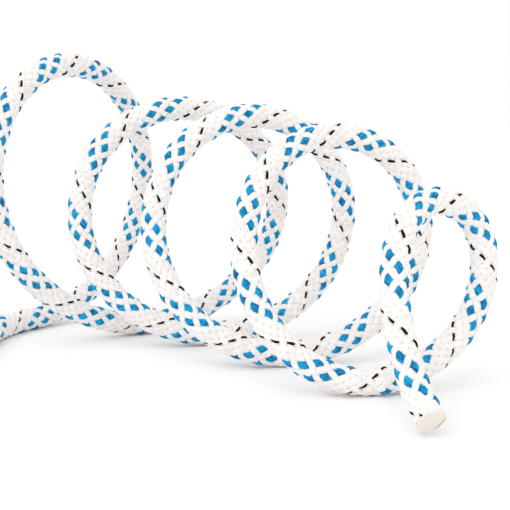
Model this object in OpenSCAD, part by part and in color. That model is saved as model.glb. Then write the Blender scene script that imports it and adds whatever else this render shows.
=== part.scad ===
// Kernmantle climbing rope, a 3 m cut length. It stands on the floor in five open loops, like a
// stretched spring, and the rest of it lies beside them in one flat coil.
//
// The rope runs as one route: inner end of the coil, out to its rim, a short lead over the floor,
// the five loops, and the front end. Every long piece is a cross-section swept along that route.

/* [Rope] */
// Outside diameter of the rope
rope_d = 10.5; // [9:0.1:11]
// Length of the rope from end to end
cut_length = 3000; // [2600:50:3200]
// Wall thickness of the braided sheath
sheath_wall = 1.4; // [1:0.1:1.6]
// Gap between one inside piece and the next
strand_gap = 0.1; // [0.06:0.02:0.2]
// Width of the identification tape
tape_w = 3; // [2:0.1:3.4]
// Thickness of the identification tape
tape_t = 0.2; // [0.1:0.05:0.3]
// Length of the melted plug at each cut end
melt_len = 3; // [2:0.5:5]

/* [Standing loops] */
// Height of loop 1, the one next to the lead
loop_1_h = 116; // [107:1:120]
// Height of loop 2
loop_2_h = 97; // [90:1:104]
// Height of loop 3
loop_3_h = 94; // [87:1:101]
// Height of loop 4
loop_4_h = 87; // [80:1:94]
// Height of loop 5, next to the front end
loop_5_h = 65; // [58:1:70]
// Width of loop 1
loop_1_w = 122; // [114:1:128]
// Width of loop 2
loop_2_w = 103; // [96:1:108]
// Width of loop 3
loop_3_w = 96; // [90:1:102]
// Width of loop 4
loop_4_w = 90; // [84:1:96]
// Width of loop 5
loop_5_w = 53; // [47:1:58]

/* [Stored coil] */
// Diameter of the coil at the middle of its turns, in rope diameters
coil_ratio = 12; // [11:0.25:12]
// Clear gap between neighbouring turns
turn_gap = 0.8; // [0.6:0.1:1.5]

/* [Hidden] */

UP = [0, 0, 1];

// ---- Cross-section ----
// Six flats stand for the round rope, with the same area, so a swept piece keeps its real mass.
sides = 6;
corner_r = rope_d / 2 * sqrt(2 * PI / (sides * sin(360 / sides)));
flat_r = corner_r * cos(180 / sides);
bore_flat_r = flat_r - sheath_wall;
core_flat_r = bore_flat_r - strand_gap;
// The middle strand has a seventh of the core's area
middle_flat_r = core_flat_r / sqrt(sides + 1);
// The strand under the tape gives up the tape's room
taped_flat_r = core_flat_r - tape_t - strand_gap;

// ---- Floor contact ----
// The rope is pressed flat where it rests, a tenth of its diameter deep
press = rope_d / 10;
rest_z = flat_r - press;

// ---- Standing loops ----
// Where each turn touches the floor, from the lead to the front end
FEET = [[-103, 72], [-47, 65], [-17, 42], [13, 6], [41, -34], [56, -85]];
// Where the top of each loop is, seen from above
CROWNS = [[-81, 68], [-32, 60], [-1, 40], [30, 8], [64, -28]];
// The feet and the crowns in turn, half a turn apart
LINE = [for (i = [0:10]) i % 2 == 0 ? FEET[i / 2] : CROWNS[(i - 1) / 2]];
loop_count = 5;
// The rope stops a little short of its last foot, so the front end is just clear of the floor
turns = 4.94;
rings_per_loop = 24;
start_w = 118;
end_w = 14;
WIDTHS = [
  [0, start_w], [0.5, loop_1_w], [1.5, loop_2_w], [2.5, loop_3_w],
  [3.5, loop_4_w], [4.5, loop_5_w], [loop_count, end_w]
];
// Which way each loop faces: the angle of its width from the X axis, over the turns
YAWS = [[0, 54], [0.5, 52], [1.5, 17], [2.5, 14], [3.5, 15], [4.5, 20]];
HEIGHTS = [loop_1_h, loop_2_h, loop_3_h, loop_4_h, loop_5_h];

// Catmull-Rom curve through a list of points, at t points from its start
function before(p) = 2 * p[0] - p[1];
function after(p) = 2 * p[len(p) - 1] - p[len(p) - 2];
function at(p, i) = i < 0 ? before(p) : i > len(p) - 1 ? after(p) : p[i];
function bend(a, b, c, d, s) =
  b + s / 2 * (c - a + s * (2 * a - 5 * b + 4 * c - d + s * (3 * (b - c) + d - a)));
function along(p, t) =
  let (i = min(floor(t), len(p) - 2))
  bend(at(p, i - 1), p[i], p[i + 1], at(p, i + 2), t - i);

// Height of the loops over the turns, easing from each loop to the next
function ease(s) = s * s * (3 - 2 * s);
function loop_h(u) =
  let (t = max(0, min(u - 0.5, loop_count - 1)), i = min(floor(t), loop_count - 2))
  HEIGHTS[i] + (HEIGHTS[i + 1] - HEIGHTS[i]) * ease(t - i);

function loop_point(u) =
  let (
    line = along(LINE, 2 * u),
    yaw = lookup(u, YAWS),
    reach = lookup(u, WIDTHS) / 2 * sin(360 * u),
    rise = loop_h(u) / 2 * (1 - cos(360 * u))
  )
  [line[0] + reach * cos(yaw), line[1] + reach * sin(yaw), rest_z + rise];

// Turns run through at each ring; the last two steps are one, so the front end runs straight
loop_steps = round(turns * rings_per_loop);
RING_TURNS = [for (i = [0:loop_steps]) if (i != loop_steps - 1) turns * i / loop_steps];
loops = [for (u = RING_TURNS) loop_point(u)];

// ---- Lead between the coil and the loops ----
// Where the coil's rim meets the lead, which leaves it along +Y
LEAD_START = [-115, 8, rest_z];
lead_steps = 4;
// Each end of the lead runs straight on from what it meets for this far
lead_reach = 22;
loops_heading = unit(loop_point(0.002) - loop_point(0));

function unit(v) = v / norm(v);
function bezier(a, b, c, d, s) =
  (1 - s) ^ 3 * a + 3 * s * (1 - s) ^ 2 * b + 3 * s ^ 2 * (1 - s) * c + s ^ 3 * d;
lead = [for (i = [0:lead_steps]) bezier(
  LEAD_START, LEAD_START + [0, lead_reach, 0],
  loops[0] - lead_reach * loops_heading, loops[0], i / lead_steps)];

// ---- Stored coil ----
// One flat layer, wound from the rim inwards, with as many turns as the rest of the rope needs
function sum(v) = v * [for (x = v) 1];
function path_length(p) = sum([for (i = [1:len(p) - 1]) norm(p[i] - p[i - 1])]);
coil_mean_d = coil_ratio * rope_d;
coil_pitch = 2 * corner_r + turn_gap;
coil_rings_per_turn = 16;
coil_turn_length = coil_rings_per_turn * coil_mean_d * sin(180 / coil_rings_per_turn);
coil_length = cut_length - 2 * melt_len - path_length(loops) - path_length(lead);
coil_turns = coil_length / coil_turn_length;
coil_rim_r = coil_mean_d / 2 + coil_pitch * coil_turns / 2;
COIL_CENTRE = LEAD_START - [coil_rim_r, 0, 0];
coil_steps = round(coil_turns * coil_rings_per_turn);
function coil_point(v) =
  COIL_CENTRE + (coil_rim_r - coil_pitch * v) * [cos(-360 * v), sin(-360 * v), 0];
coil = [for (i = [0:coil_steps]) coil_point(coil_turns * (1 - i / coil_steps))];

// ---- Whole route, centred over the origin ----
raw_route = concat(coil, [for (i = [1:lead_steps - 1]) lead[i]], loops);
coil_last = coil_steps;
lead_last = coil_last + lead_steps;
route_last = len(raw_route) - 1;
function span_middle(k) = let (c = [for (p = raw_route) p[k]]) (min(c) + max(c)) / 2;
CENTRE = [span_middle(0), span_middle(1), 0];
route = [for (p = raw_route) p - CENTRE];

// Direction of travel at each point of the route
function heading(i) = unit(route[min(i + 1, route_last)] - route[max(i - 1, 0)]);
// Sideways direction: level on the floor, and square to the loop's plane in the loops
function loop_side(u) = let (yaw = lookup(u, YAWS)) [sin(yaw), -cos(yaw), 0];
function side_guide(i) =
  i < lead_last ? cross(heading(i), UP) : loop_side(RING_TURNS[i - lead_last]);
function side(i) = let (t = heading(i), g = side_guide(i)) unit(g - (g * t) * t);
function inward(i) = cross(side(i), heading(i));
SIDES = [for (i = [0:route_last]) side(i)];
INWARDS = [for (i = [0:route_last]) inward(i)];

// A corner of the cross-section at one point of the route, kept on or above the floor
function corner(i, c) =
  let (p = route[i] + c[0] * INWARDS[i] + c[1] * SIDES[i])
  [p[0], p[1], max(p[2], 0)];

// ---- Sweeps ----
function quad(a, b, c, d) = [[a, b, c], [a, c, d]];
function flat_list(v) = [for (a = v) for (b = a) b];
// Skin between rings of n corners; base is the first corner's place in the list of points
function skin(n, rings, base, out) = flat_list([for (i = [0:rings - 2]) for (j = [0:n - 1])
  let (
    a = base + i * n + j, b = base + i * n + (j + 1) % n,
    c = base + (i + 1) * n + (j + 1) % n, d = base + (i + 1) * n + j
  )
  out ? quad(a, b, c, d) : quad(a, d, c, b)]);

// A solid bar of one cross-section, from one point of the route to another
module bar(outline, from, to) {
  n = len(outline);
  rings = to - from + 1;
  last = (rings - 1) * n;
  points = [for (i = [from:to]) for (c = outline) corner(i, c)];
  near_end = [for (j = [1:n - 2]) [0, j + 1, j]];
  far_end = [for (j = [1:n - 2]) [last, last + j, last + j + 1]];
  polyhedron(points, concat(skin(n, rings, 0, true), near_end, far_end));
}

// A tube with a bore, its two outlines having the same number of corners
module tube(outline, bore, from, to) {
  n = len(outline);
  rings = to - from + 1;
  inner = rings * n;
  last = (rings - 1) * n;
  points = concat(
    [for (i = [from:to]) for (c = outline) corner(i, c)],
    [for (i = [from:to]) for (c = bore) corner(i, c)]);
  near_end = flat_list([for (j = [0:n - 1])
    quad(j, inner + j, inner + (j + 1) % n, (j + 1) % n)]);
  far_end = flat_list([for (j = [0:n - 1])
    quad(last + j, last + (j + 1) % n, inner + last + (j + 1) % n, inner + last + j)]);
  polyhedron(points,
    concat(skin(n, rings, 0, true), skin(n, rings, inner, false), near_end, far_end));
}

function turned(c, a) = [c[0] * cos(a) - c[1] * sin(a), c[0] * sin(a) + c[1] * cos(a)];
function hexagon(r) = [for (j = [0:sides - 1]) turned([r, 0], 360 * (j + 0.5) / sides)];
// A strand pressed against its neighbours: a wedge between two flats of the hexagon
function wedge(near, far, a) =
  let (k = tan(180 / sides), g = strand_gap / 2 / cos(180 / sides))
  [for (c = [[near, g - near * k], [far, g - far * k], [far, far * k - g], [near, near * k - g]])
    turned(c, a)];

// ---- Pieces ----
module sheath(from, to) {
  color("whitesmoke") tube(hexagon(corner_r), hexagon(bore_flat_r / cos(180 / sides)), from, to);
}
module sheath_coil() sheath(0, coil_last);
module sheath_lead() sheath(coil_last, lead_last);
module sheath_loops() sheath(lead_last, route_last);

// Strand 1 runs up the middle; the other six lie round it, strand 2 under the tape
module core_strand(number) {
  color("white")
    if (number == 1)
      bar(hexagon(middle_flat_r / cos(180 / sides)), 0, route_last);
    else
      bar(wedge(middle_flat_r + strand_gap, number == 2 ? taped_flat_r : core_flat_r,
        (number - 2) * 360 / sides), 0, route_last);
}

module marker_tape() {
  inner = taped_flat_r + strand_gap;
  outer = inner + tape_t;
  color("deepskyblue")
    bar([[inner, -tape_w / 2], [outer, -tape_w / 2], [outer, tape_w / 2], [inner, tape_w / 2]],
      0, route_last);
}

// Sheath and core melted into one plug, with its rim rounded off where the blade left it.
// The plug at the coil lies on the floor, so it is pressed flat there like the rope.
melt_rim = 0.8;
melt_shrink = 0.25;
melt_r = rope_d / 2 - melt_shrink;
module melted_end(place, out) {
  color("wheat")
    difference() {
      translate(place)
        rotate([0, acos(out[2]), atan2(out[1], out[0])]) {
          cylinder(r = melt_r, h = melt_len - melt_rim, $fn = 48);
          translate([0, 0, melt_len - melt_rim])
            cylinder(r1 = melt_r, r2 = melt_r - melt_rim, h = melt_rim, $fn = 48);
        }
      translate([place[0], place[1], -rope_d])
        cylinder(r = 2 * rope_d, h = rope_d, $fn = 48);
    }
}
module melted_end_front() melted_end(route[route_last], heading(route_last));
module melted_end_coil() melted_end(route[0], -heading(0));

// Least clear gap between stretches of rope that are more than a quarter turn apart
apart = 5;
least_gap = min([for (i = [0:route_last - apart]) for (j = [i + apart:route_last])
  norm(route[i] - route[j])]) - 2 * corner_r;
echo(least_gap = least_gap, coil_turns = coil_turns);
echo(rope_length = path_length(route) + 2 * melt_len);
echo(rest_point = (route[coil_last - 4] + route[coil_last - 3]) / 2);
echo(front_end = route[route_last], front_heading = heading(route_last));

sheath_loops();
sheath_lead();
sheath_coil();
core_strand(1);  // core_strand_1
core_strand(2);  // core_strand_2
core_strand(3);  // core_strand_3
core_strand(4);  // core_strand_4
core_strand(5);  // core_strand_5
core_strand(6);  // core_strand_6
core_strand(7);  // core_strand_7
marker_tape();
melted_end_front();
melted_end_coil();
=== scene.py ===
import math

import bpy
import numpy as np
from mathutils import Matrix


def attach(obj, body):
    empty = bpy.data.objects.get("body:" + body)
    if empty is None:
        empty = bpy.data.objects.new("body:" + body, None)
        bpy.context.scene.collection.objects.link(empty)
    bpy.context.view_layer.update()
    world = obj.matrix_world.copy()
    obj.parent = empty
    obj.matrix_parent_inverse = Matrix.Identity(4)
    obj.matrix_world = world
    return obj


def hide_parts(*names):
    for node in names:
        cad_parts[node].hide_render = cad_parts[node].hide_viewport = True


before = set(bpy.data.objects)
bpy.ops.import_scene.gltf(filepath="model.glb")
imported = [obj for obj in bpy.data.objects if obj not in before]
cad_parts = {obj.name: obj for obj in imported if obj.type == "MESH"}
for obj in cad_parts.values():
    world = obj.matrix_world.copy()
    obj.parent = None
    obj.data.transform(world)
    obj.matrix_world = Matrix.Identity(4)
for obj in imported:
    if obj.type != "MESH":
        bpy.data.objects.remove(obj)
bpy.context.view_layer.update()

# ---- The way the rope lies ----
# A 3 m cut length of climbing rope. It stands on the floor in five open loops, like a stretched
# spring, and what is left of it is wound into one flat coil beside them.
# All lengths in this script are in millimetres until a mesh or a light is placed.
MM = 0.001
ROPE_D = 10.5
CUT_LENGTH = 3000
MELT_LEN = 3
# The solids are six-sided: their corners reach further out than the round rope
SIDES = 6
CORNER_R = ROPE_D / 2 * math.sqrt(2 * math.pi / (SIDES * math.sin(2 * math.pi / SIDES)))
SOLID_REST_Z = CORNER_R * math.cos(math.pi / SIDES) - ROPE_D / 10
# The round rope rests a little higher, its lowest yarns pressed on the floor
ROPE_REST_Z = 5.0

FEET = [(-103, 72), (-47, 65), (-17, 42), (13, 6), (41, -34), (56, -85)]
CROWNS = [(-81, 68), (-32, 60), (-1, 40), (30, 8), (64, -28)]
TURNS = 4.94
RINGS_PER_LOOP = 24
HEIGHTS = [116, 97, 94, 87, 65]
WIDTHS = [(0, 118), (0.5, 122), (1.5, 103), (2.5, 96), (3.5, 90), (4.5, 53), (5, 14)]
YAWS = [(0, 54), (0.5, 52), (1.5, 17), (2.5, 14), (3.5, 15), (4.5, 20)]
LEAD_START = (-115, 8)
LEAD_REACH = 22
LEAD_STEPS = 4
COIL_MEAN_D = 12 * ROPE_D
COIL_PITCH = 2 * CORNER_R + 0.8
COIL_RINGS = 16
# How far into the loops, in turns, their heading is taken from
HEADING_TURN = 0.002


def lookup(table, x):
    return np.interp(x, [row[0] for row in table], [row[1] for row in table])


def feet_and_crowns(t):
    """The line that the loops stand along, through each foot and crown in turn."""
    marks = np.array([p for pair in zip(FEET, CROWNS) for p in pair] + [FEET[-1]], float)
    marks = np.vstack([2 * marks[0] - marks[1], marks, 2 * marks[-1] - marks[-2]])
    t = np.asarray(t, float)
    i = np.minimum(np.floor(t).astype(int), len(marks) - 4)
    s = (t - i)[:, None]
    a, b, c, d = (marks[i + k] for k in range(4))
    bend = 2 * a - 5 * b + 4 * c - d + s * (3 * (b - c) + d - a)
    return b + s / 2 * (c - a + s * bend)


def loops_at(u, rest_z):
    u = np.atleast_1d(np.asarray(u, float))
    t = np.clip(u - 0.5, 0, len(HEIGHTS) - 1)
    i = np.minimum(np.floor(t).astype(int), len(HEIGHTS) - 2)
    s = t - i
    tall = np.array(HEIGHTS, float)
    height = tall[i] + (tall[i + 1] - tall[i]) * s * s * (3 - 2 * s)
    yaw = np.radians(lookup(YAWS, u))
    reach = lookup(WIDTHS, u) / 2 * np.sin(2 * np.pi * u)
    line = feet_and_crowns(2 * u)
    # The tops are as high as the solids' own, whatever the rope rests on
    rise = (height + SOLID_REST_Z - rest_z) / 2 * (1 - np.cos(2 * np.pi * u))
    across = reach[:, None] * np.stack([np.cos(yaw), np.sin(yaw)], 1)
    return np.column_stack([line + across, rest_z + rise])


def lead_at(s, rest_z):
    s = np.atleast_1d(np.asarray(s, float))[:, None]
    start = np.array([*LEAD_START, rest_z], float)
    end = loops_at(0, rest_z)[0]
    onward = loops_at(HEADING_TURN, rest_z)[0] - end
    onward /= np.linalg.norm(onward)
    leaves = start + [0, LEAD_REACH, 0]
    arrives = end - LEAD_REACH * onward
    return ((1 - s) ** 3 * start + 3 * s * (1 - s) ** 2 * leaves
            + 3 * s ** 2 * (1 - s) * arrives + s ** 3 * end)


def steps_of(points):
    return np.linalg.norm(np.diff(points, axis=0), axis=1)


# The coil takes up the length that the solids' own rings leave over
ring_count = round(TURNS * RINGS_PER_LOOP)
ring_turns = [TURNS * i / ring_count for i in range(ring_count + 1) if i != ring_count - 1]
solid_loops = loops_at(ring_turns, SOLID_REST_Z)
solid_lead = lead_at(np.linspace(0, 1, LEAD_STEPS + 1), SOLID_REST_Z)
coil_length = CUT_LENGTH - 2 * MELT_LEN - steps_of(solid_loops).sum() - steps_of(solid_lead).sum()
coil_turns = coil_length / (COIL_RINGS * COIL_MEAN_D * math.sin(math.pi / COIL_RINGS))
coil_rim_r = COIL_MEAN_D / 2 + COIL_PITCH * coil_turns / 2


def coil_at(v, rest_z):
    v = np.atleast_1d(np.asarray(v, float))
    r = coil_rim_r - COIL_PITCH * v
    x = LEAD_START[0] - coil_rim_r + r * np.cos(2 * np.pi * v)
    y = LEAD_START[1] - r * np.sin(2 * np.pi * v)
    return np.column_stack([x, y, np.full_like(x, rest_z)])


coil_steps = round(coil_turns * COIL_RINGS)
solid_coil = coil_at(coil_turns * (1 - np.arange(coil_steps + 1) / coil_steps), SOLID_REST_Z)
solid_route = np.vstack([solid_coil, solid_lead, solid_loops])
CENTRE = (solid_route.min(0) + solid_route.max(0)) / 2 * [1, 1, 0]

# ---- Camera ----
# A 70 mm lens a little above the loops, 380 mm in front of the line that they stand round.
SENSOR_WIDTH = 36
FOCAL_PIXELS = 1000
IMAGE_WIDTH_PIXELS = 510
CAMERA_PLACE = [0, -380, 103]
CAMERA_DOWN = 8.6
camera_data = bpy.data.cameras.new("camera")
camera_data.sensor_width = SENSOR_WIDTH
camera_data.lens = SENSOR_WIDTH * FOCAL_PIXELS / IMAGE_WIDTH_PIXELS
camera_data.clip_start = 0.02
camera = bpy.data.objects.new("camera", camera_data)
bpy.context.scene.collection.objects.link(camera)
camera.location = (np.array(CAMERA_PLACE) - CENTRE) * MM
camera.rotation_euler = (math.radians(90 - CAMERA_DOWN), 0, 0)
bpy.context.scene.camera = camera

# ---- Liner ----
# The core, drawn here as this liner in place of the imported core strands, shows as a pale ground
# in the smallest gaps between the sheath's yarns; its colour is darker than the sheath's white,
# partly the core's own undyed tone and partly painted shade between the yarns.
# Polyamide strands, twisted and bundled, under the braid. This piece is the rope's own line,
# and the yarns, the tracer and the two melted ends go with it.
LINER_R = 4.3
LINER_SIDES = 16
# The liner needs only every third ring of the yarns
LINER_RING_STEP = 3
BRAID_LEAD = 34.3
CARRIERS = 8
FLOAT_PERIOD = BRAID_LEAD / CARRIERS
RINGS_PER_FLOAT_STANDING = 10
RINGS_PER_FLOAT_STORED = 6
# The yarns run on over the sides of the two melted plugs
PLUG_YARNS = 2.4
# How many close points the route is worked out at
CLOSE_IN_COIL = 9000
CLOSE_IN_LEAD = 600
CLOSE_IN_LOOPS = 12000


def unit(v):
    return v / np.linalg.norm(v, axis=-1, keepdims=True)


# Close points along the whole rope, from the inner end of the coil to the front end
close_turns = np.linspace(0, TURNS, CLOSE_IN_LOOPS)
close = [
    coil_at(np.linspace(coil_turns, 0, CLOSE_IN_COIL), ROPE_REST_Z),
    lead_at(np.linspace(0, 1, CLOSE_IN_LEAD)[1:], ROPE_REST_Z),
    loops_at(close_turns[1:], ROPE_REST_Z),
]
coil_end = PLUG_YARNS + steps_of(close[0]).sum()
close = np.vstack(close)
close = np.vstack([close[0] + PLUG_YARNS * unit(close[0] - close[1]), close,
                   close[-1] + PLUG_YARNS * unit(close[-1] - close[-2])]) - CENTRE
close_s = np.concatenate([[0], np.cumsum(steps_of(close))])
loops_start = close_s[-len(close_turns) - 1]
rope_end = close_s[-1]
rings_s = np.concatenate([
    np.arange(0, coil_end, FLOAT_PERIOD / RINGS_PER_FLOAT_STORED),
    np.arange(coil_end, rope_end, FLOAT_PERIOD / RINGS_PER_FLOAT_STANDING),
    [rope_end]])
line = np.stack([np.interp(rings_s, close_s, close[:, k]) for k in range(3)], 1)
along = unit(np.gradient(line, rings_s, axis=0))


def carried_frame(along):
    """A sideways direction carried along the rope without turning round it."""
    aside = np.empty_like(along)
    aside[0] = unit(np.cross(along[0], [0, 0, 1]))
    for i in range(1, len(along)):
        aside[i] = aside[i - 1] - along[i] * (aside[i - 1] @ along[i])
        aside[i] /= np.linalg.norm(aside[i])
    return aside, np.cross(along, aside)


aside, inside = carried_frame(along)


def tube_mesh(name, tubes, material):
    """One object of closed tubes. Each tube is its ring points, ring by ring, with its length
    and its girth in millimetres for the two maps that its material and its bake read."""
    verts, corners, grain, sheet = [], [], [], []
    base = 0
    length = sum(t["run"][-1] for t in tubes)
    girth = max(t["girth"] for t in tubes)
    row_run = math.sqrt(length * girth)
    rows = math.ceil(length / row_run) + len(tubes)
    row = 0
    for t in tubes:
        rings = t["rings"]
        count, sides = rings.shape[:2]
        verts.append(rings.reshape(-1, 3) * MM)
        k, j = np.meshgrid(np.arange(count - 1), np.arange(sides), indexing="ij")
        k, j = k.ravel(), j.ravel()
        nxt = (j + 1) % sides
        quads = np.stack([k * sides + j, k * sides + nxt,
                          (k + 1) * sides + nxt, (k + 1) * sides + j], 1)
        corners.append(quads + base)
        near, far = t["run"][k], t["run"][k + 1]
        low, high = j / sides * t["girth"], (j + 1) / sides * t["girth"]
        grain.append(np.stack([near, low, near, high, far, high, far, low], 1))
        which = np.floor(near / row_run)
        left = (near - which * row_run) / row_run
        right = np.minimum((far - which * row_run) / row_run, 1)
        bottom = (row + which + 0.05 + 0.9 * j / sides) / rows
        top = (row + which + 0.05 + 0.9 * (j + 1) / sides) / rows
        sheet.append(np.stack([left, bottom, left, top, right, top, right, bottom], 1))
        row += int(which.max()) + 1
        base += count * sides
    verts = np.concatenate(verts)
    corners = np.concatenate(corners)
    mesh = bpy.data.meshes.new(name)
    mesh.vertices.add(len(verts))
    mesh.vertices.foreach_set("co", verts.ravel())
    mesh.loops.add(corners.size)
    mesh.loops.foreach_set("vertex_index", corners.ravel().astype(np.int32))
    mesh.polygons.add(len(corners))
    mesh.polygons.foreach_set("loop_start", np.arange(0, corners.size, 4, dtype=np.int32))
    mesh.polygons.foreach_set("use_smooth", np.ones(len(corners), bool))
    for title, uv in (("grain", grain), ("OFBake", sheet)):
        layer = mesh.uv_layers.new(name=title)
        layer.data.foreach_set("uv", np.concatenate(uv).ravel().astype(np.float32))
    mesh.update(calc_edges=True)
    mesh.validate()
    mesh.materials.append(material)
    piece = bpy.data.objects.new(name, mesh)
    bpy.context.scene.collection.objects.link(piece)
    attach(piece, "root")
    return piece


def linear(hex_colour):
    """An sRGB colour such as 'f2efe9' as linear red, green, blue and alpha."""
    parts = [int(hex_colour[k:k + 2], 16) / 255 for k in (0, 2, 4)]
    return [c / 12.92 if c <= 0.04045 else ((c + 0.055) / 1.055) ** 2.4 for c in parts] + [1]


def add_node(material, kind, settings, links=()):
    """A node with its settings, fed by (input, node, output) links."""
    node = material.node_tree.nodes.new(kind)
    for name, value in settings.items():
        if name in node.inputs:
            node.inputs[name].default_value = value
        else:
            setattr(node, name, value)
    for name, source, output in links:
        material.node_tree.links.new(source.outputs[output], node.inputs[name])
    return node


def new_material(name):
    material = bpy.data.materials.new(name)
    material.use_nodes = True
    material.node_tree.nodes.clear()
    return material


def polyamide_filament(name, dark, light, sheen, gloss=0.3):
    """Bright polyamide filament yarn, twisted and braided: fine slanting filaments, a soft
    sheen along their edges, and small changes of shade where dirt and dye differ."""
    material = new_material(name)
    place = add_node(material, "ShaderNodeUVMap", {"uv_map": "grain"})
    # Filaments are 0.03 mm thick, too fine to show, so they are drawn in plies 0.4 mm apart
    ply = add_node(material, "ShaderNodeMapping",
                   {"Rotation": (0, 0, math.radians(28)), "Scale": (1, 1, 1)},
                   [("Vector", place, "UV")])
    plies = add_node(material, "ShaderNodeTexWave",
                     {"wave_type": "BANDS", "bands_direction": "Y", "Scale": 0.8,
                      "Distortion": 1.2, "Detail": 2, "Detail Scale": 1.5},
                     [("Vector", ply, "Vector")])
    stretch = add_node(material, "ShaderNodeMapping", {"Scale": (0.25, 1.6, 1)},
                       [("Vector", place, "UV")])
    shade = add_node(material, "ShaderNodeTexNoise", {"Scale": 1.0, "Detail": 3},
                     [("Vector", stretch, "Vector")])
    streaks = add_node(material, "ShaderNodeMapRange", {"From Min": 0.35, "From Max": 0.65},
                       [("Value", shade, "Fac")])
    colour = add_node(material, "ShaderNodeMix",
                      {"data_type": "RGBA"}, [("Factor", streaks, "Result")])
    for socket, value in ((6, dark), (7, light)):
        colour.inputs[socket].default_value = linear(value)
    bump = add_node(material, "ShaderNodeBump", {"Strength": 0.35, "Distance": 0.05 * MM},
                    [("Height", plies, "Fac")])
    shader = add_node(material, "ShaderNodeBsdfPrincipled",
                      {"Roughness": 0.62, "IOR": 1.53, "Sheen Weight": sheen,
                       "Sheen Roughness": 0.5, "Specular IOR Level": gloss},
                      [("Base Color", colour, 2), ("Normal", bump, "Normal")])
    add_node(material, "ShaderNodeOutputMaterial", {}, [("Surface", shader, "BSDF")])
    return material


# The liner's colour is darker than the sheath's white: partly the core's own undyed tone, partly
# painted shade for the gaps between the yarns.
CORE_WHITE_AND_SHADE = polyamide_filament("polyamide strand, undyed and bundled", "d9d4cd", "ece8e3", 0.1)
liner_angles = np.linspace(0, 2 * np.pi, LINER_SIDES, endpoint=False)
liner_rings = np.unique(np.r_[np.arange(0, len(line), LINER_RING_STEP), len(line) - 1])
liner_tube = (line[liner_rings, None]
              + LINER_R * np.cos(liner_angles)[None, :, None] * aside[liner_rings, None]
              + LINER_R * np.sin(liner_angles)[None, :, None] * inside[liner_rings, None])
liner = tube_mesh("sheath_liner", [{
    "rings": liner_tube, "run": rings_s[liner_rings], "girth": 2 * np.pi * LINER_R}], CORE_WHITE_AND_SHADE)

# ---- Braided sheath ----
# Sixteen carriers of polyamide yarn, eight wound each way, each over one and under one.
# A carrier lays down two yarns side by side. Two of the eight left-hand carriers are dyed
# blue, with a white one between them.
# How far a yarn rises over one carrier and dives under the next
FLOAT_WAVE = 0.34
BRAID_MID_R = 4.45
CARRIER_WIDE = 2.65
YARN_BESIDE = 0.2
YARN_WIDE = 2.15
# The dyed yarns are a little fuller than the white ones
DYED_WIDE = 2.35
DYED_LIFT = 0.14
YARN_THICK = 0.8
YARN_SIDES = 8
# How much lower the outer edges of a pair of yarns lie, and the most that this is multiplied by
CROWN = 0.36
CROWN_LIMIT = 1.3
# How much a pair closes up where it dives, and how far a float turns towards the rope's length
PINCH = 0.3
STEEPER = 0.3
# Where the first carrier starts, in degrees round the rope
BRAID_START = -30
# The way round one yarn, for the map that its material reads
YARN_GIRTH = 3.5
# Uneven winding: the lengths along the rope that it comes back at, and its sizes
WOBBLE_LENGTHS = (3.7, 8.9, 23)
WOBBLE_SIDEWAYS = 0.07
WOBBLE_HEIGHT = 0.03
WOBBLE_WIDTH = 0.03
BLUE_CARRIERS = (0, 2)
TRACER_CARRIER = 5

pitch = 2 * np.pi / CARRIERS
braid_run = rings_s - loops_start
braid_turn = 2 * np.pi * braid_run / BRAID_LEAD


def wobble(rng, size):
    """A small uneven drift along a yarn, of about that many millimetres."""
    total = np.zeros_like(rings_s)
    for wavelength in WOBBLE_LENGTHS:
        total += np.sin(2 * np.pi * rings_s / wavelength + rng.uniform(0, 2 * np.pi))
    return size * total / 2


def yarn(hand, carrier, beside, wide, rng, thick=YARN_THICK, lift=0.0):
    """One yarn wound round the rope. hand is -1 for the left-hand carriers and 1 for the
    others, and beside is how far it lies from its carrier's middle, in carrier widths."""
    # A yarn beside its carrier's middle meets the crossing carriers that much earlier or later
    phase = CARRIERS * braid_turn + hand * np.pi * beside
    on_top = -hand * np.cos(phase)
    # A float turns towards the rope's length, and its two yarns close up where they dive
    beside = beside * (1 + PINCH * (on_top - 1))
    turned = (math.radians(BRAID_START) + pitch * (carrier + beside) + hand * braid_turn
              + STEEPER / CARRIERS * np.sin(phase) + wobble(rng, WOBBLE_SIDEWAYS) / BRAID_MID_R)
    r = BRAID_MID_R + lift + FLOAT_WAVE * on_top + wobble(rng, WOBBLE_HEIGHT)
    out = np.cos(turned)[:, None] * aside + np.sin(turned)[:, None] * inside
    centre = line + r[:, None] * out
    way = unit(np.gradient(centre, rings_s, axis=0))
    out = unit(out - way * np.sum(out * way, axis=1, keepdims=True))
    across = np.cross(way, out)
    a = 2 * np.pi * (np.arange(YARN_SIDES) + 0.5) / YARN_SIDES
    half = (wide * (1 + wobble(rng, WOBBLE_WIDTH)) * (1 + PINCH * (on_top - 1)) / 2)[:, None]
    sideways = half * np.cos(a)[None] / math.cos(a[0])
    # The outer edges of the pair lie lower than its middle, so a float is domed
    from_middle = (beside[:, None] * CARRIER_WIDE + sideways) / (CARRIER_WIDE / 2)
    height = thick / 2 * np.sin(a)[None] - CROWN * np.minimum(from_middle ** 2, CROWN_LIMIT)
    rings = (centre[:, None] + sideways[:, :, None] * across[:, None]
             + height[:, :, None] * out[:, None])
    rings[:, :, 2] = np.maximum(rings[:, :, 2], 0)
    run = np.concatenate([[0], np.cumsum(steps_of(centre))])
    return {"rings": rings, "run": run, "girth": YARN_GIRTH}


SHEATH_WHITE = polyamide_filament(
    "polyamide yarn, white, twisted and braided", "ece8e5", "fcf9f7", 0.15)
SHEATH_BLUE = polyamide_filament(
    "polyamide yarn, dyed blue, twisted and braided", "005789", "0babe3", 0.0, 0.15)
TRACER_BLACK = polyamide_filament(
    "polyamide thread, dyed black, twisted", "050404", "141213", 0.0, 0.1)

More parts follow.
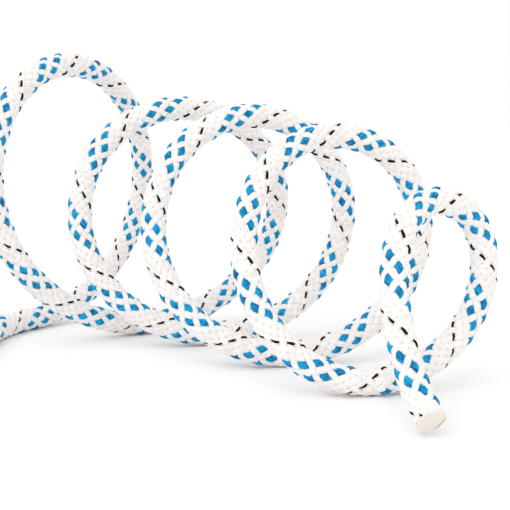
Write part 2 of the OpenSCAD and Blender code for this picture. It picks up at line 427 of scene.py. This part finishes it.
for hand, side_name in ((-1, "left"), (1, "right")):
    for k in range(CARRIERS):
        rng = np.random.default_rng(100 * k + hand + 7)
        dyed = hand < 0 and k in BLUE_CARRIERS
        wide, lift = (DYED_WIDE, DYED_LIFT) if dyed else (YARN_WIDE, 0)
        yarns = [yarn(hand, k, beside, wide, rng, lift=lift)
                 for beside in (-YARN_BESIDE, YARN_BESIDE)]
        if hand < 0 and k == TRACER_CARRIER:
            yarns = yarns[:1]
        dye = SHEATH_BLUE if dyed else SHEATH_WHITE
        piece = tube_mesh(f"carrier_{side_name}_{k + 1}", yarns, dye)

# ---- Tracer ----
# One thin black polyamide thread runs in a white carrier and shows as a row of short dashes.
TRACER_BESIDE = 0.22
TRACER_WIDE = 1.0
TRACER_LIFT = 0.08
tracer = tube_mesh("tracer_thread", [
    yarn(-1, TRACER_CARRIER, TRACER_BESIDE, TRACER_WIDE, np.random.default_rng(5),
         lift=TRACER_LIFT)], TRACER_BLACK)

# ---- Melted ends ----
# A hot blade cut the rope and melted sheath and core into one skin: dull polyamide, nearly as
# white as the yarn, with a low bead round the rim that is scorched tan where the blade left it.
MELT_SIDES = 96
# From under the yarns, over the bead and to the middle of the cut: how far past the last ring,
# how far from the middle, how lumpy and how scorched
MELT_PROFILE = [
    (-2.5, 3.9, 0, 0), (-0.5, 4.5, 0.02, 0), (-0.2, 4.95, 0.05, 0.8), (0.15, 5.1, 0.07, 1.2),
    (0.45, 5.0, 0.07, 1.6), (0.65, 4.7, 0.07, 1.6), (0.7, 4.3, 0.06, 1.0),
    (0.6, 3.8, 0.05, 0.3), (0.55, 2.8, 0.04, 0), (0.6, 1.5, 0.03, 0), (0.6, 0.05, 0, 0)]

def melt_material():
    material = new_material("polyamide, melted by a hot blade")
    place = add_node(material, "ShaderNodeNewGeometry", {})
    # Lumps about 1 mm across, and a patchy edge to the scorch
    lumps = add_node(material, "ShaderNodeTexNoise", {"Scale": 1 / (1.1 * MM), "Detail": 5},
                     [("Vector", place, "Position")])
    patches = add_node(material, "ShaderNodeTexNoise", {"Scale": 1 / (2.5 * MM), "Detail": 2},
                       [("Vector", place, "Position")])
    scorch = add_node(material, "ShaderNodeAttribute", {"attribute_name": "scorch"})
    burnt = add_node(material, "ShaderNodeMath", {"operation": "MULTIPLY", "use_clamp": True})
    for socket, source, output in ((0, scorch, "Fac"), (1, patches, "Fac")):
        material.node_tree.links.new(source.outputs[output], burnt.inputs[socket])
    ramp = add_node(material, "ShaderNodeValToRGB", {}, [("Fac", burnt, "Value")])
    stops = ramp.color_ramp.elements
    stops[0].position, stops[0].color = 0.1, linear("f3ece5")
    stops[1].position, stops[1].color = 0.55, linear("c98a45")
    bump = add_node(material, "ShaderNodeBump", {"Strength": 0.9, "Distance": 0.8 * MM},
                    [("Height", lumps, "Fac")])
    shader = add_node(material, "ShaderNodeBsdfPrincipled",
                      {"Roughness": 0.5, "IOR": 1.53},
                      [("Base Color", ramp, "Color"), ("Normal", bump, "Normal")])
    add_node(material, "ShaderNodeOutputMaterial", {}, [("Surface", shader, "BSDF")])
    return material


MELTED = melt_material()


def melted_end(name, ring, out_sign, blade_left, seed):
    """A skin over the cut with a lumpy bead that the yarns end in. blade_left is the direction
    in which the blade left the rope."""
    rng = np.random.default_rng(seed)
    away = out_sign * along[ring]
    a = np.linspace(0, 2 * np.pi, MELT_SIDES, endpoint=False)
    lump = sum(rng.uniform(0.4, 1) * np.cos(n * a + rng.uniform(0, 6.28)) for n in (3, 7, 11, 16))
    radial = np.cos(a)[:, None] * aside[ring] + out_sign * np.sin(a)[:, None] * inside[ring]
    towards = np.clip(radial @ unit(np.array(blade_left, float)), 0, 1) ** 4
    rows, burns = [], []
    for reach, r, lumpy, burn in MELT_PROFILE:
        rows.append(line[ring] + reach * away + (r + lumpy * lump)[:, None] * radial)
        burns.append(burn * towards)
    rings = np.array(rows)
    rings[:, :, 2] = np.maximum(rings[:, :, 2], 0)
    run = np.concatenate([[0], np.cumsum(steps_of(rings[:, 0]))])
    piece = tube_mesh(name, [{"rings": rings, "run": run, "girth": 10 * np.pi}], MELTED)
    scorch = piece.data.attributes.new("scorch", "FLOAT", "POINT")
    scorch.data.foreach_set("value", np.concatenate(burns).astype(np.float32))
    return piece


end_front = melted_end("melted_cut_front", len(line) - 1, 1, (0.7, 0.65, -0.3), 11)
end_coil = melted_end("melted_cut_coil", 0, -1, (0, 0, 1), 12)
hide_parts("melted_end_front")
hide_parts("melted_end_coil")
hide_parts("sheath_loops", "sheath_lead", "sheath_coil", "marker_tape",
            *[f"core_strand_{k}" for k in range(1, 8)])

# ---- Floor and light ----
# A plain white sweep, lit from all round like a product table.
bpy.ops.mesh.primitive_plane_add(size=8)
floor = bpy.context.object
floor.name = "floor"
FLOOR_WHITE = new_material("matt white sweep")
grain = add_node(FLOOR_WHITE, "ShaderNodeTexNoise", {"Scale": 40})
paper = add_node(FLOOR_WHITE, "ShaderNodeMix", {"data_type": "RGBA"}, [("Factor", grain, "Fac")])
paper.inputs[6].default_value = linear("fafafa")
paper.inputs[7].default_value = linear("fdfdfd")
matt = add_node(FLOOR_WHITE, "ShaderNodeBsdfPrincipled",
                {"Roughness": 0.9, "Specular IOR Level": 0.1}, [("Base Color", paper, 2)])
add_node(FLOOR_WHITE, "ShaderNodeOutputMaterial", {}, [("Surface", matt, "BSDF")])
floor.data.materials.append(FLOOR_WHITE)

world = bpy.data.worlds.new("studio")
world.use_nodes = True
world.node_tree.nodes["Background"].inputs["Color"].default_value = (1, 0.99, 0.98, 1)
world.node_tree.nodes["Background"].inputs["Strength"].default_value = 0.97
backdrop = add_node(world, "ShaderNodeBackground", {"Strength": 1.0, "Color": (1, 1, 1, 1)})
seen = add_node(world, "ShaderNodeLightPath", {})
studio = add_node(world, "ShaderNodeMixShader", {}, [("Fac", seen, "Is Camera Ray")])
world.node_tree.links.new(world.node_tree.nodes["Background"].outputs[0], studio.inputs[1])
world.node_tree.links.new(backdrop.outputs[0], studio.inputs[2])
world.node_tree.links.new(studio.outputs[0], world.node_tree.nodes["World Output"].inputs[0])
bpy.context.scene.world = world
bpy.context.scene.view_settings.view_transform = "Standard"

key_light = bpy.data.lights.new("key", "SUN")
key_light.energy = 0.66
key_light.angle = math.radians(50)
key = bpy.data.objects.new("key", key_light)
bpy.context.scene.collection.objects.link(key)
key.rotation_euler = (math.radians(38), 0, math.radians(-35))
